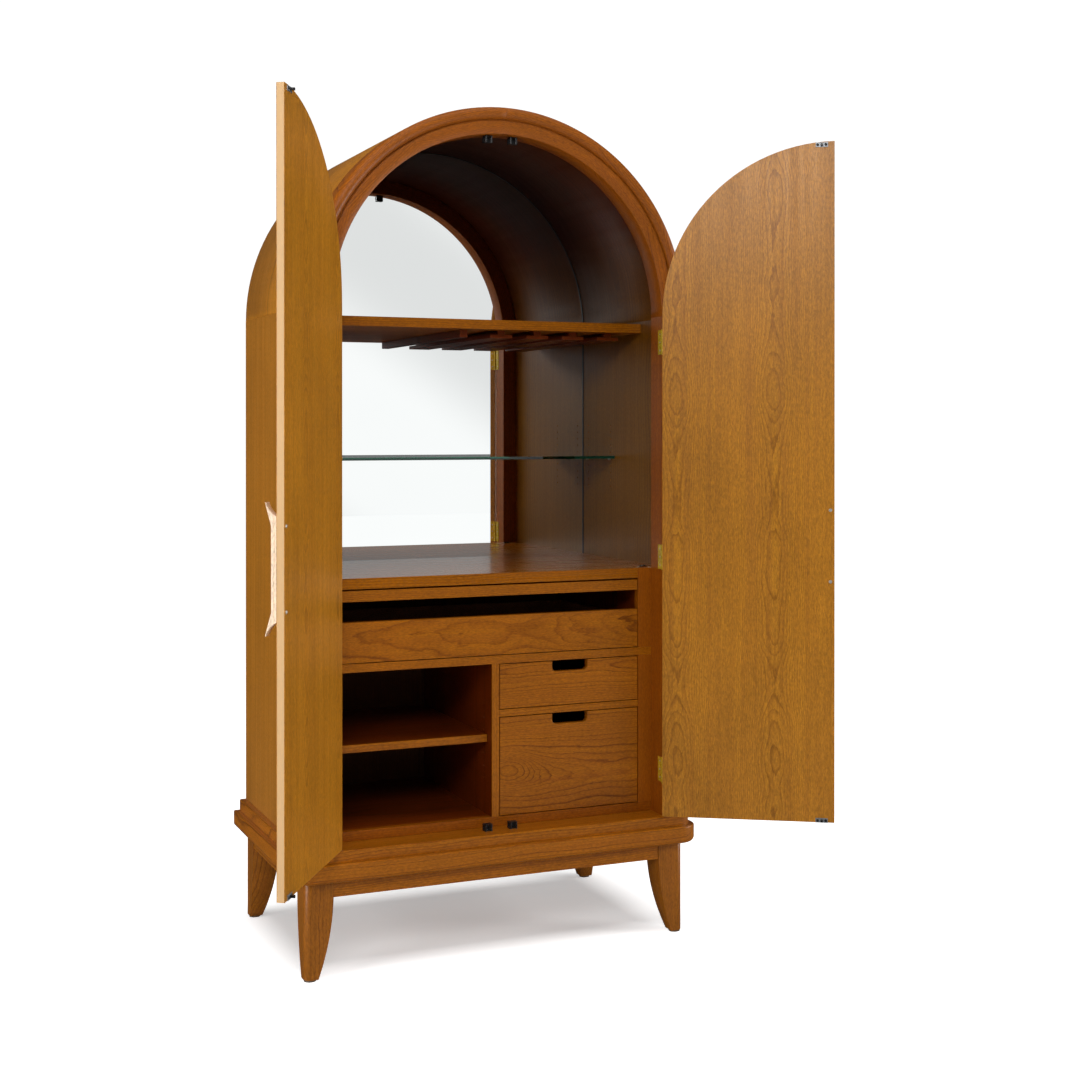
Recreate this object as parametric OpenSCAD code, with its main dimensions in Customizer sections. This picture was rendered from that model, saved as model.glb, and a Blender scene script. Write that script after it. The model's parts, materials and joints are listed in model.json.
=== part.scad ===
// Arched-top bar armoire on a moulded plinth, with two tall quarter-arched doors, a mirrored
// display space, and a case of drawers, shelves and a pull-out board below the counter.
// X runs across the front, +Y to the back, +Z up. The origin is on the floor, midway between
// the legs.

/* [Overall size] */
// Height from the floor to the crown of the arch
total_h = 2210; // [2100:5:2300]
// Width over the side panels, which is also the arch's diameter
carcass_w = 1060; // [1000:2:1120]
// Depth from the hinge line to the back edge of the side panels
carcass_d = 650; // [600:5:700]
// Thickness of the side panels and the arch shell
wall_t = 24; // [20:1:30]

/* [Plinth] */
// Height of the plinth's underside above the floor
leg_h = 249; // [230:1:265]
// Width of a leg where it meets the plinth
leg_top_w = 74; // [60:1:80]
// Width of a leg at its foot
leg_foot_w = 35; // [26:1:44]
// Plan radius of a leg's outer corner, front legs then back legs
leg_corner_r = [18, 5]; // [2:1:22]
// Height at which a leg's inner faces start to curve outwards
leg_curve_z = 225; // [180:5:230]
// Width and depth over the outer faces of the legs
leg_span = [1060, 620]; // [500:1:1100]
// Height of the lower plinth tier
lower_tier_h = 47.5; // [40:0.5:55]
// Height of the upper plinth tier
upper_tier_h = 29.5; // [24:0.5:34]
// How far each tier stands out past the side panels, lower then upper
tier_side = [34.5, 17.5]; // [4:0.5:36]
// How far each tier stands out in front of the hinge line, lower then upper
tier_front = [25, 11]; // [4:1:36]
// Plan radius of each tier's front corners, lower then upper
tier_corner_r = [52, 36]; // [30:1:60]
// Height of the apron below the plinth
apron_h = 44; // [25:1:50]

/* [Face frame] */
// Width of the face frame, seen from the front
frame_w = 68.5; // [60:0.5:75]
// Depth of the face frame behind the hinge line
frame_d = 70; // [60:1:75]
// Radius of the bead around the outer edge
bead_r = 16; // [12:1:18]

/* [Doors] */
// Thickness of the door panels
door_t = 19; // [16:1:22]
// Gap between the closed doors
meeting_gap = 2.4; // [2:0.2:4]
// Clearance under the doors
door_floor_gap = 3; // [2:0.5:5]
// Angle that the left door stands open at rest
left_open = 122.4; // [0:0.1:160]
// Angle that the right door stands open at rest
right_open = 147.5; // [0:0.1:160]
// Length of the door pulls, tip to tip
pull_l = 296; // [200:1:320]
// Width of the door pulls
pull_w = 26; // [18:1:34]

/* [Hinges] */
// Height of each butt hinge
hinge_h = 66; // [60:0.5:76]
// Reach of the frame's leaf from the pin
frame_leaf_w = 27; // [18:0.5:34]
// Reach of the door's leaf from the pin
door_leaf_w = 21; // [14:0.5:22]
// Heights of the hinge centres
hinge_z = [450, 1027, 1610]; // [380:1:1650]
// Radius of the hinge knuckles
knuckle_r = 3.2; // [3:0.1:3.6]
// Radius of the hinge pins
pin_r = 1.8; // [1.5:0.1:2]

/* [Display space] */
// Height of the counter's top
counter_z = 994; // [980:1:1010]
// Height of the fixed shelf's top
top_shelf_z = 1673; // [1650:1:1680]
// Distance from the hinge line to the fixed shelf's front edge
top_shelf_front = 220; // [180:5:260]
// Height of the glass shelf's top
glass_z = 1295.5; // [1200:0.5:1500]
// Thickness of the glass shelf
glass_t = 8; // [6:1:10]
// Distance from the hinge line to the glass shelf's front edge
glass_front = 385; // [300:5:420]

/* [Lower case] */
// Half of the width between the case sides' front stiles
case_half = 421.5; // [400:0.5:430]
// Left and right faces of the centre divider
divider_x = [-9, 11.5]; // [-40:0.5:40]
// Top of the middle shelf, under the wide drawer
middle_z = 776.5; // [765:0.5:790]
// Top of the rail between the two right-hand drawers
rail_z = 632.5; // [600:0.5:650]
// Top of the adjustable wooden shelf
low_shelf_z = 564; // [500:1:650]
// Clearance around the drawer fronts
reveal = 2; // [1.5:0.1:3]
// Thickness of the drawer fronts
front_t = 19; // [16:1:22]
// Length of the drawer boxes behind their fronts
drawer_l = 470; // [400:5:500]
// Height of the wide drawer's low front
wide_front_h = 103; // [80:1:130]

/* [Hidden] */
$fn = 48;
arc_fn = 128;
arch_r = carcass_w / 2;
spring_z = total_h - arch_r;
leg_out = [leg_span[0] / 2, leg_span[1] / 2];
glide_h = 5;
glide_rim = 2;
apron_t = 20;
apron_inset = 2;
pin_y = -leg_out[1] - 14;
back_y = pin_y + carcass_d;
tier_z = leg_h + lower_tier_h;
ledge_z = tier_z + upper_tier_h;
frame_y = pin_y + frame_d;
frame_in = arch_r - frame_w;
inner_x = arch_r - wall_t;
mirror_t = 5;
back_panel_t = 12;
mirror_y = back_y - 40;
panel_y = mirror_y + mirror_t;
stile_t = 22;
floor_t = 25;
floor_z = ledge_z + floor_t;
counter_t = 28;
board_t = 28;
board_gap = 4;
board_z = counter_z - counter_t - board_gap;
low_shelf_t = 20;
low_shelf_front = 102;
top_shelf_t = 26;
middle_t = 22.2;
rail_t = 18.8;
case_t = 18;
case_in = case_half + 2;

// Doors and hinges
hinge_reveal = 3.2;
pin_x = frame_in - hinge_reveal / 2;
door_r = frame_in - hinge_reveal;
door_y = pin_y + 3.4;
door_back_y = door_y + door_t;
door_z = ledge_z + door_floor_gap;
leaf_t = 1.2;
knuckles = 5;
knuckle_h = hinge_h / knuckles;
knuckle_gap = 0.2;
pin_bore = 0.05;
screw_r = 2.2;
screw_inset = 0.05;
pull_z = 1064;
pull_proud = 13;
pull_tip = 27;
pull_foot = 235;
pull_screw_pitch = 190;
pull_edge = 1;
pull_screw_x = 12;
pull_head_r = 4.6;

// Catches and strikes
catch_x = 35;
catch_size = [22, 20, 18];
catch_plate = 3;
catch_y = pin_y + 45;
roller_r = 3;
roller_x = 7.5;
strike_size = [32, 2, 12];
nub_w = 6;
nub_l = 11;

// Drawers
side_t = 15;
box_back_t = 12;
bottom_t = 6;
bottom_lift = 8;
runner_h = 16;
runner_play = 0.5;
groove_d = 8;
box_gap = 5;
runner_l = 480;
runner_front = frame_y + front_t + 6;
cut_w = 104;
cut_h = 28;
cut_r = 12;
board_l = 460;
// Each bay: left, right, low and high edges of the opening that a front fills
wide_bay = [-case_half, case_half, middle_z, middle_z + reveal + wide_front_h];
small_bay = [divider_x[1], case_half, rail_z, middle_z - middle_t - reveal];
large_bay = [divider_x[1], case_half, floor_z, rail_z - rail_t - reveal];
// Height of each box, and the height of its runner's underside above the box's lower edge
wide_box_h = 78;
small_box_h = 86;
large_box_h = 190;
runner_lift = 34;
// Left face, right face and lower edge of each box
box_lift = 4;
wide_box = [-case_in + box_gap, case_in - box_gap, wide_bay[2] + reveal + box_lift];
small_box = [divider_x[1] + box_gap, case_in - box_gap, small_bay[2] + reveal + box_lift];
large_box = [divider_x[1] + box_gap, case_in - box_gap, large_bay[2] + reveal + box_lift];
// The board's grooves and runners are lower than a drawer's
board_groove_h = 10;
board_groove_d = 12;
board_groove_z = board_z - board_t / 2 - board_groove_h / 2;

// Shelf pins and their holes
pin_hole_r = 2.5;
pin_hole_d = 10;
peg_r = 2.45;
peg_l = 9;
peg_out = 8;
wood_pitch = 32;
glass_pitch = 20;
wood_holes_z = [for (i = [-3:3]) low_shelf_z - low_shelf_t - peg_r + i * wood_pitch];
glass_holes_z = [for (i = [-4:5]) glass_z - glass_t - peg_r + i * glass_pitch];
// Distance of each pin column from the hinge line (front) and from the mirror (back)
wood_cols = [130, 60];
glass_cols = [glass_front + 32, 40];
wood_cols_y = [pin_y + wood_cols[0], mirror_y - wood_cols[1]];
glass_cols_y = [pin_y + glass_cols[0], mirror_y - glass_cols[1]];

// Stemware rack
rack_x0 = -28;
rack_pitch = 109;
rack_first = 95;
rack_front = pin_y + 262;
web_w = 23;
web_h = 11;
flange_w = 66;
flange_t = 10;

wood = [0.58, 0.34, 0.13];
wood_dark = [0.43, 0.24, 0.09];
wood_pale = [0.80, 0.58, 0.36];
inside = [0.36, 0.22, 0.09];
brass = [0.78, 0.62, 0.25];
black = [0.06, 0.06, 0.06];
steel = [0.72, 0.72, 0.74];
glass = [0.72, 0.87, 0.82, 0.5];
mirror_c = [0.86, 0.88, 0.90];

// ---- Shared shapes ----

// A block between two opposite corners
module block(a, b) {
    translate(a) cube(b - a);
}

// Copies a right-hand part to both sides
module both_sides() {
    children();
    mirror([1, 0, 0]) children();
}

// Swings a closed door's piece to its resting angle. side is 1 on the right, -1 on the left
module swung(side) {
    angle = side > 0 ? right_open : -left_open;
    translate([side * pin_x, pin_y, 0])
        rotate([0, 0, angle])
            translate([-side * pin_x, -pin_y, 0])
                children();
}

// A right-hand piece, mirrored if it belongs to the left door
module handed(side) {
    if (side > 0) children();
    else mirror([1, 0, 0]) children();
}

// Turns a flat outline in X and Z into a plate between two depths
module plate_xz(y0, y1) {
    translate([0, y1, 0]) rotate([90, 0, 0]) linear_extrude(y1 - y0) children();
}

// An arch outline: straight sides from z0 up to the spring line, then a half circle
module arch_outline(r, z0) {
    translate([-r, z0]) square([2 * r, spring_z - z0]);
    intersection() {
        translate([0, spring_z]) circle(r, $fn = arc_fn);
        translate([-r, spring_z]) square([2 * r, r]);
    }
}

// ---- Plinth ----

// A tier's edge: w deep and h high, its outer corners rounded
module tier_edge(w, h, top_r, low_r) {
    difference() {
        square([w, h]);
        translate([w - top_r, h - top_r]) difference() {
            square(top_r + 1);
            circle(top_r);
        }
        translate([w - low_r, -1]) difference() {
            square([low_r + 1, low_r + 1]);
            translate([0, low_r + 1]) circle(low_r);
        }
    }
}

// A plinth tier: square at the back, rounded corners and edges at the front and sides
module tier(i, z0, h, top_r, low_r) {
    r = tier_corner_r[i];
    half = arch_r + tier_side[i];
    core_x = half - r;
    core_y = pin_y - tier_front[i] + r;
    block([-core_x, core_y, z0], [core_x, back_y, z0 + h]);
    translate([core_x, core_y, z0]) rotate([90, 0, -90])
        linear_extrude(2 * core_x) tier_edge(r, h, top_r, low_r);
    both_sides() {
        translate([core_x, core_y, z0]) rotate([0, 0, -90])
            rotate_extrude(angle = 90, $fn = 64) tier_edge(r, h, top_r, low_r);
        translate([core_x, back_y, z0]) rotate([90, 0, 0])
            linear_extrude(back_y - core_y) tier_edge(r, h, top_r, low_r);
    }
}

module lower_tier() {
    color(wood) tier(0, leg_h, lower_tier_h, 4, 14);
}

module upper_tier() {
    color(wood) tier(1, tier_z, upper_tier_h, 4, 0.5);
}

// A leg in the +X, +Y corner: two flat outer faces, two inner faces that curve out to the foot
module leg(corner_r) {
    drop = leg_curve_z - glide_h;
    taper = leg_top_w - leg_foot_w;
    curve_r = (drop * drop + taper * taper) / (2 * taper);
    inner = [leg_out[0] - leg_top_w, leg_out[1] - leg_top_w];
    translate([inner[0], inner[1], glide_h]) intersection() {
        linear_extrude(leg_h - glide_h) union() {
            square([leg_top_w - corner_r, leg_top_w]);
            square([leg_top_w, leg_top_w - corner_r]);
            translate([leg_top_w - corner_r, leg_top_w - corner_r]) circle(corner_r);
        }
        union() {
            translate([0, 0, drop]) cube([leg_top_w, leg_top_w, leg_h]);
            intersection() {
                translate([curve_r, -1, drop]) rotate([-90, 0, 0])
                    cylinder(r = curve_r, h = leg_top_w + 2, $fn = 256);
                translate([-1, curve_r, drop]) rotate([0, 90, 0])
                    cylinder(r = curve_r, h = leg_top_w + 2, $fn = 256);
                cube([leg_top_w, leg_top_w, drop]);
            }
        }
    }
}

// Places a leg in one corner. sx and sy are 1 or -1
module corner_leg(sx, sy) {
    color(wood) mirror([sx > 0 ? 0 : 1, 0, 0]) mirror([0, sy > 0 ? 0 : 1, 0])
        leg(leg_corner_r[sy > 0 ? 1 : 0]);
}

module foot_glides() {
    inset = leg_foot_w / 2;
    color(wood_dark) for (sx = [-1, 1], sy = [-1, 1])
        translate([sx * (leg_out[0] - inset), sy * (leg_out[1] - inset), 0])
            cylinder(d = leg_foot_w - 2 * glide_rim, h = glide_h);
}

// The apron boards stand a little behind the legs' outer faces
module apron_long(sy) {
    x1 = leg_out[0] - leg_top_w;
    y1 = leg_out[1] - apron_inset;
    color(wood) mirror([0, sy > 0 ? 0 : 1, 0])
        block([-x1, y1 - apron_t, leg_h - apron_h], [x1, y1, leg_h]);
}

module apron_sides() {
    x1 = leg_out[0] - apron_inset;
    y1 = leg_out[1] - leg_top_w;
    color(wood) both_sides()
        block([x1 - apron_t, -y1, leg_h - apron_h], [x1, y1, leg_h]);
}

// ---- Carcass ----

module side_panel(side) {
    color(wood) handed(side)
        block([inner_x, frame_y, ledge_z], [arch_r, back_y, spring_z]);
}

module arch_shell() {
    color(wood) plate_xz(frame_y, back_y) intersection() {
        difference() {
            translate([0, spring_z]) circle(arch_r, $fn = arc_fn);
            translate([0, spring_z]) circle(inner_x, $fn = arc_fn);
        }
        translate([-arch_r, spring_z]) square([2 * arch_r, arch_r]);
    }
}

// Section of the face frame. x is the distance from the arch's axis, y the depth
module frame_section() {
    band = [frame_in + 32, 3];
    bead_y = 8;
    polygon([
        [frame_in, 7], band, [band[0] + 1.5, bead_y],
        [arch_r, bead_y], [arch_r, frame_d], [frame_in, frame_d]
    ]);
    translate([arch_r - bead_r, bead_y]) circle(bead_r, $fn = 64);
}

module frame_stile(side) {
    color(wood) handed(side) translate([0, pin_y, ledge_z])
        linear_extrude(spring_z - ledge_z) frame_section();
}

// A quarter of the arched moulding, from the spring line to the crown
module arch_moulding(side) {
    color(wood) handed(side) translate([0, pin_y, spring_z]) rotate([-90, 0, 0])
        rotate([0, 0, -90]) rotate_extrude(angle = 90, $fn = arc_fn) frame_section();
}

module back_panel() {
    color(wood_dark) plate_xz(panel_y, panel_y + back_panel_t) arch_outline(inner_x, ledge_z);
}

module mirror_panel() {
    color(mirror_c) plate_xz(mirror_y, panel_y) arch_outline(inner_x, counter_z);
}

module bottom_panel() {
    color(inside)
        block([-inner_x, frame_y + stile_t, ledge_z], [inner_x, panel_y, floor_z]);
}

module bottom_rail() {
    color(wood) block([-inner_x, frame_y, ledge_z], [inner_x, frame_y + stile_t, floor_z]);
}

// The counter is notched around the inner stiles
module counter() {
    z0 = counter_z - counter_t;
    color(wood) union() {
        block([-case_half, frame_y, z0], [case_half, frame_y + stile_t, counter_z]);
        block([-inner_x, frame_y + stile_t, z0], [inner_x, panel_y, counter_z]);
    }
}

module inner_stiles() {
    color(wood) both_sides() {
        block([case_half, frame_y, floor_z], [inner_x, frame_y + stile_t, middle_z - middle_t]);
        block([case_half, frame_y, middle_z], [inner_x, frame_y + stile_t, counter_z]);
    }
}

// A row of blind shelf-pin holes in a wall whose face is at x, drilled towards dir
module pin_holes(x, dir, cols, rows) {
    for (y = cols, z = rows)
        translate([x - dir, y, z]) rotate([0, dir * 90, 0])
            cylinder(r = pin_hole_r, h = pin_hole_d + 1, $fn = 24);
}

module case_sides() {
    y0 = frame_y + stile_t;
    color(inside) difference() {
        both_sides() {
            block([case_in, y0, floor_z], [case_in + case_t, panel_y, middle_z - middle_t]);
            block([case_in, y0, middle_z], [case_in + case_t, panel_y, counter_z - counter_t]);
        }
        pin_holes(-case_in, -1, wood_cols_y, wood_holes_z);
    }
}

module middle_shelf() {
    color(wood)
        block([-inner_x, frame_y, middle_z - middle_t], [inner_x, panel_y, middle_z]);
}

module drawer_rail() {
    color(wood)
        block([divider_x[1], frame_y, rail_z - rail_t], [case_half, frame_y + stile_t, rail_z]);
}

module centre_divider() {
    color(wood) difference() {
        block([divider_x[0], frame_y, floor_z], [divider_x[1], panel_y, middle_z - middle_t]);
        pin_holes(divider_x[0], 1, wood_cols_y, wood_holes_z);
    }
}

module low_shelf() {
    side_gap = 1;
    back_gap = 10;
    color(wood)
        block([-case_in + side_gap, pin_y + low_shelf_front, low_shelf_z - low_shelf_t],
              [divider_x[0] - side_gap, panel_y - back_gap, low_shelf_z]);
}

// One peg: its shank in the wall and its free end under a shelf
module peg(x, dir, y, top) {
    translate([x + dir * peg_l, y, top - peg_r]) rotate([0, -dir * 90, 0])
        cylinder(r = peg_r, h = peg_l + peg_out, $fn = 24);
}

module shelf_pegs() {
    color(steel) {
        for (y = wood_cols_y) {
            peg(-case_in, -1, y, low_shelf_z - low_shelf_t);
            peg(divider_x[0], 1, y, low_shelf_z - low_shelf_t);
        }
        for (y = glass_cols_y, side = [-1, 1])
            peg(side * inner_x, side, y, glass_z - glass_t);
    }
}

module drilled_side_panel(side) {
    difference() {
        side_panel(side);
        color(wood) pin_holes(side * inner_x, side, glass_cols_y, glass_holes_z);
    }
}

module top_shelf() {
    color(wood) block([-inner_x, pin_y + top_shelf_front, top_shelf_z - top_shelf_t],
                      [inner_x, mirror_y, top_shelf_z]);
}

// Rails that hold glasses by their feet: one end beam and four T-sections
module stemware_rails() {
    z1 = top_shelf_z - top_shelf_t;
    color(wood) {
        block([rack_x0, rack_front, z1 - web_h - flange_t],
              [rack_x0 + web_w, mirror_y, z1]);
        for (i = [0:3]) {
            x = rack_first + i * rack_pitch;
            block([x - web_w / 2, rack_front, z1 - web_h], [x + web_w / 2, mirror_y, z1]);
            block([x - flange_w / 2, rack_front, z1 - web_h - flange_t],
                  [x + flange_w / 2, mirror_y, z1 - web_h]);
        }
    }
}

module glass_shelf() {
    gap = 2;
    color(glass) block([-inner_x + gap, pin_y + glass_front, glass_z - glass_t],
                       [inner_x - gap, mirror_y - gap, glass_z]);
}

// A small round light set against the arch's inner face
module ceiling_light() {
    lean = 10;
    drop = 9;
    lamp_h = 6;
    color(black) translate([0, frame_y + 26, spring_z]) rotate([0, -lean, 0])
        translate([0, 0, inner_x - drop]) {
            cylinder(r = 15, h = lamp_h);
            translate([0, 0, lamp_h]) cylinder(r = 9, h = drop - lamp_h - 0.1);
        }
}

module light_switch() {
    base = [18, 12, 2];
    color(black) translate([456, pin_y + 110, counter_z]) {
        block([-base[0] / 2, -base[1] / 2, 0], [base[0] / 2, base[1] / 2, base[2]]);
        for (x = [-4.5, 4.5]) translate([x, 0, base[2]]) cylinder(r = 3, h = 2);
    }
}

// ---- Door catches ----

// A double-roller catch whose mouth faces -Y. The housing's back face is at y = 0
module roller_catch() {
    w = catch_size[0];
    d = catch_size[1];
    h = catch_size[2];
    t = catch_plate;
    roller_y = roller_r + 1 - d;
    block([-w / 2, -t, 0], [w / 2, 0, h]);
    block([-w / 2, roller_y, 0], [w / 2, -t, t]);
    block([-w / 2, roller_y, h - t], [w / 2, -t, h]);
    for (x = [-roller_x, roller_x]) translate([x, roller_y, 0]) cylinder(r = roller_r, h = h);
}

module door_catches() {
    reach = catch_x + catch_size[0] / 2;
    h = catch_size[2];
    wedge = [catch_size[0] - 4, catch_size[1] - 6];
    top_z = spring_z + sqrt(frame_in * frame_in - reach * reach) - h - 1;
    color(black) for (x = [-catch_x, catch_x]) {
        translate([x, catch_y, ledge_z]) roller_catch();
        translate([x, catch_y, top_z]) {
            roller_catch();
            block([-wedge[0] / 2, -wedge[1], h - catch_plate], [wedge[0] / 2, 0, h + 1.2]);
        }
    }
}

// ---- Hinges ----

// Distance from the pin to the middle of a leaf's flat part
function leaf_middle(leaf_w) = leaf_w / 2 + 2.5;

// The knuckles and leaf of one right-hand hinge. first is 0 for the frame's leaf, 1 for the
// door's. The leaf lies between x = near and x = far, and its screw holes go through it
module hinge_half(first, near, far, leaf_w, bore) {
    clear = knuckle_r + 0.5;
    z0 = -hinge_h / 2;
    difference() {
        union() {
            block([near, pin_y + clear, z0], [far, pin_y + leaf_w, -z0]);
            for (k = [first:2:knuckles - 1]) {
                low = z0 + k * knuckle_h + knuckle_gap / 2;
                high = z0 + (k + 1) * knuckle_h - knuckle_gap / 2;
                translate([pin_x, pin_y, low]) cylinder(r = knuckle_r, h = high - low);
                block([near, pin_y + 1, low], [far, pin_y + clear, high]);
            }
        }
        translate([pin_x, pin_y, z0 - 1]) cylinder(r = pin_r + bore, h = hinge_h + 2);
        for (k = [-1:1])
            translate([near - 1, pin_y + leaf_middle(leaf_w), k * hinge_h / 3]) rotate([0, 90, 0])
                cylinder(r = screw_r, h = leaf_t + 2, $fn = 24);
    }
}

module frame_leaves(side) {
    color(brass) handed(side) for (z = hinge_z) translate([0, 0, z])
        hinge_half(0, frame_in - leaf_t, frame_in, frame_leaf_w, 0.02);
}

module door_leaves(side) {
    color(brass) swung(side) handed(side) for (z = hinge_z) translate([0, 0, z])
        hinge_half(1, door_r, door_r + leaf_t, door_leaf_w, pin_bore);
}

module hinge_pins() {
    head = 1.2;
    head_r = knuckle_r - 0.4;
    color(brass) both_sides() for (z = hinge_z)
        translate([pin_x, pin_y, z - hinge_h / 2 - head]) {
            cylinder(r = pin_r, h = hinge_h + 2 * head);
            cylinder(r = head_r, h = head);
            translate([0, 0, hinge_h + head]) cylinder(r = head_r, h = head);
        }
}

// Flat screw heads that fill a leaf's holes
module leaf_screws(x0, leaf_w) {
    for (z = hinge_z, k = [-1:1])
        translate([x0, pin_y + leaf_middle(leaf_w), z + k * hinge_h / 3]) rotate([0, 90, 0])
            cylinder(r = screw_r - screw_inset, h = leaf_t - screw_inset, $fn = 24);
}

module frame_screws() {
    color(steel) both_sides() leaf_screws(frame_in - leaf_t + screw_inset, frame_leaf_w);
}

// ---- Doors ----

module door_panel(side) {
    color(wood) swung(side) handed(side) plate_xz(door_y, door_back_y) {
        translate([meeting_gap / 2, door_z]) square([door_r - meeting_gap / 2, spring_z - door_z]);
        intersection() {
            translate([0, spring_z]) circle(door_r, $fn = arc_fn);
            translate([meeting_gap / 2, spring_z]) square([door_r, door_r]);
        }
    }
}

// Side outline of a pull: straight along its middle, its ends flaring away from the door. The
// hollow under each end is an arc from the pull's foot to its tip
module pull_outline() {
    flare = 52;
    sweep_r = 44;
    foot = [0, pull_foot / 2];
    tip = [3 - pull_tip, pull_l / 2];
    chord = norm(tip - foot);
    rise = sqrt(sweep_r * sweep_r - chord * chord / 4);
    centre = (foot + tip) / 2 + rise * [tip[1] - foot[1], foot[0] - tip[0]] / chord;
    difference() {
        polygon([
            [0, -pull_l / 2], [0, pull_l / 2], [-pull_tip, pull_l / 2],
            [-pull_proud, pull_l / 2 - flare], [-pull_proud, flare - pull_l / 2],
            [-pull_tip, -pull_l / 2]
        ]);
        for (s = [-1, 1]) translate([centre[0], s * centre[1]]) circle(sweep_r, $fn = 96);
    }
}

module door_pull(side) {
    x0 = meeting_gap / 2 + pull_edge;
    color(wood_pale) swung(side) handed(side)
        translate([x0, door_y, pull_z]) rotate([90, 0, 90])
            linear_extrude(pull_w) pull_outline();
}

// Strike plate with a central nub and two screw heads, on the door's inner face
module strike(z) {
    w = strike_size[0];
    t = strike_size[1];
    h = strike_size[2];
    translate([catch_x, door_back_y, z]) {
        block([-w / 2, 0, -h / 2], [w / 2, t, h / 2]);
        block([-nub_w / 2, t, -nub_w / 2], [nub_w / 2, t + nub_l, nub_w / 2]);
    }
}

module door_strikes(side) {
    reach = catch_x + strike_size[0] / 2;
    crown = spring_z + sqrt(door_r * door_r - reach * reach);
    color(black) swung(side) handed(side) {
        strike(ledge_z + catch_size[2] / 2);
        strike(crown - strike_size[2] / 2 - 0.5);
    }
}

module door_screws(side) {
    color(steel) swung(side) handed(side) {
        leaf_screws(door_r, door_leaf_w);
        for (s = [-1, 1])
            translate([pull_screw_x, door_back_y, pull_z + s * pull_screw_pitch / 2])
                rotate([-90, 0, 0]) {
                    cylinder(r = pull_head_r, h = 0.8, $fn = 32);
                    translate([0, 0, 0.8]) cylinder(r1 = pull_head_r, r2 = 2.6, h = 1.4, $fn = 32);
                }
    }
}

// ---- Drawers and the pull-out board ----

// A drawer front with an optional finger cut-out in its top edge
module drawer_front(bay, cut) {
    z0 = bay[2] + reveal;
    mid = (bay[0] + bay[1]) / 2;
    low = bay[3] - cut_h;
    color(wood) plate_xz(frame_y, frame_y + front_t) difference() {
        translate([bay[0] + reveal, z0]) square([bay[1] - bay[0] - 2 * reveal, bay[3] - z0]);
        if (cut) {
            translate([mid - cut_w / 2, low + cut_r]) square([cut_w, cut_h]);
            translate([mid - cut_w / 2 + cut_r, low]) square([cut_w - 2 * cut_r, cut_h]);
            for (s = [-1, 1]) translate([mid + s * (cut_w / 2 - cut_r), low + cut_r])
                circle(cut_r);
        }
    }
}

// Sides and back of a drawer box. Its sides are grooved for the runners
module drawer_box(x0, x1, z0, h) {
    y0 = frame_y + front_t;
    y1 = y0 + drawer_l;
    g0 = z0 + runner_lift - runner_play;
    g1 = z0 + runner_lift + runner_h + runner_play;
    color(wood_pale) difference() {
        union() {
            block([x0, y0, z0], [x0 + side_t, y1, z0 + h]);
            block([x1 - side_t, y0, z0], [x1, y1, z0 + h]);
            block([x0 + side_t, y1 - box_back_t, z0], [x1 - side_t, y1, z0 + h]);
        }
        block([x0 - 1, y0 - 1, g0], [x0 + groove_d, y1 + 1, g1]);
        block([x1 - groove_d, y0 - 1, g0], [x1 + 1, y1 + 1, g1]);
    }
}

module drawer_bottom(x0, x1, z0) {
    y0 = frame_y + front_t;
    color(wood_pale) block([x0 + side_t, y0, z0 + bottom_lift],
                           [x1 - side_t, y0 + drawer_l - box_back_t, z0 + bottom_lift + bottom_t]);
}

// A pair of runners, fixed to the faces beside a box, that fit its grooves
module runner_pair(b) {
    reach = box_gap + groove_d - runner_play;
    y1 = runner_front + runner_l;
    z = b[2] + runner_lift;
    block([b[0] - box_gap, runner_front, z], [b[0] - box_gap + reach, y1, z + runner_h]);
    block([b[1] + box_gap - reach, runner_front, z], [b[1] + box_gap, y1, z + runner_h]);
}

module drawer_runners() {
    y1 = runner_front + runner_l;
    color(wood_pale) {
        runner_pair(wide_box);
        runner_pair(small_box);
        runner_pair(large_box);
        both_sides() block([case_in - board_groove_d + 1, runner_front, board_groove_z + runner_play],
                           [case_in, y1, board_groove_z + board_groove_h - runner_play]);
    }
}

module serving_board() {
    x1 = case_half - reveal;
    y1 = frame_y + board_l;
    color(wood) difference() {
        block([-x1, frame_y, board_z - board_t], [x1, y1, board_z]);
        both_sides() block([case_in - board_groove_d, frame_y + front_t, board_groove_z],
                           [case_in + 1, y1 + 1, board_groove_z + board_groove_h]);
    }
}

// ---- Nodes ----

lower_tier();
upper_tier();
apron_long(-1);  // apron_front
apron_long(1);  // apron_back
apron_sides();
corner_leg(-1, -1);  // leg_front_left
corner_leg(1, -1);  // leg_front_right
corner_leg(-1, 1);  // leg_back_left
corner_leg(1, 1);  // leg_back_right
foot_glides();
drilled_side_panel(-1);  // side_panel_left
drilled_side_panel(1);  // side_panel_right
arch_shell();
frame_stile(-1);  // frame_stile_left
frame_stile(1);  // frame_stile_right
arch_moulding(-1);  // arch_moulding_left
arch_moulding(1);  // arch_moulding_right
back_panel();
mirror_panel();
bottom_panel();
bottom_rail();
counter();
inner_stiles();
case_sides();
middle_shelf();
drawer_rail();
centre_divider();
low_shelf();
shelf_pegs();
top_shelf();
stemware_rails();
glass_shelf();
ceiling_light();
light_switch();
door_catches();
drawer_runners();
frame_leaves(-1);  // hinge_leaves_left
frame_leaves(1);  // hinge_leaves_right
hinge_pins();
frame_screws();
door_panel(-1);  // left_door_panel
door_pull(-1);  // left_door_pull
door_leaves(-1);  // left_door_leaves
door_strikes(-1);  // left_door_strikes
door_screws(-1);  // left_door_screws
door_panel(1);  // right_door_panel
door_pull(1);  // right_door_pull
door_leaves(1);  // right_door_leaves
door_strikes(1);  // right_door_strikes
door_screws(1);  // right_door_screws
serving_board();
drawer_front(wide_bay, false);  // wide_drawer_front
drawer_box(wide_box[0], wide_box[1], wide_box[2], wide_box_h);  // wide_drawer_box
drawer_bottom(wide_box[0], wide_box[1], wide_box[2]);  // wide_drawer_bottom
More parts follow.
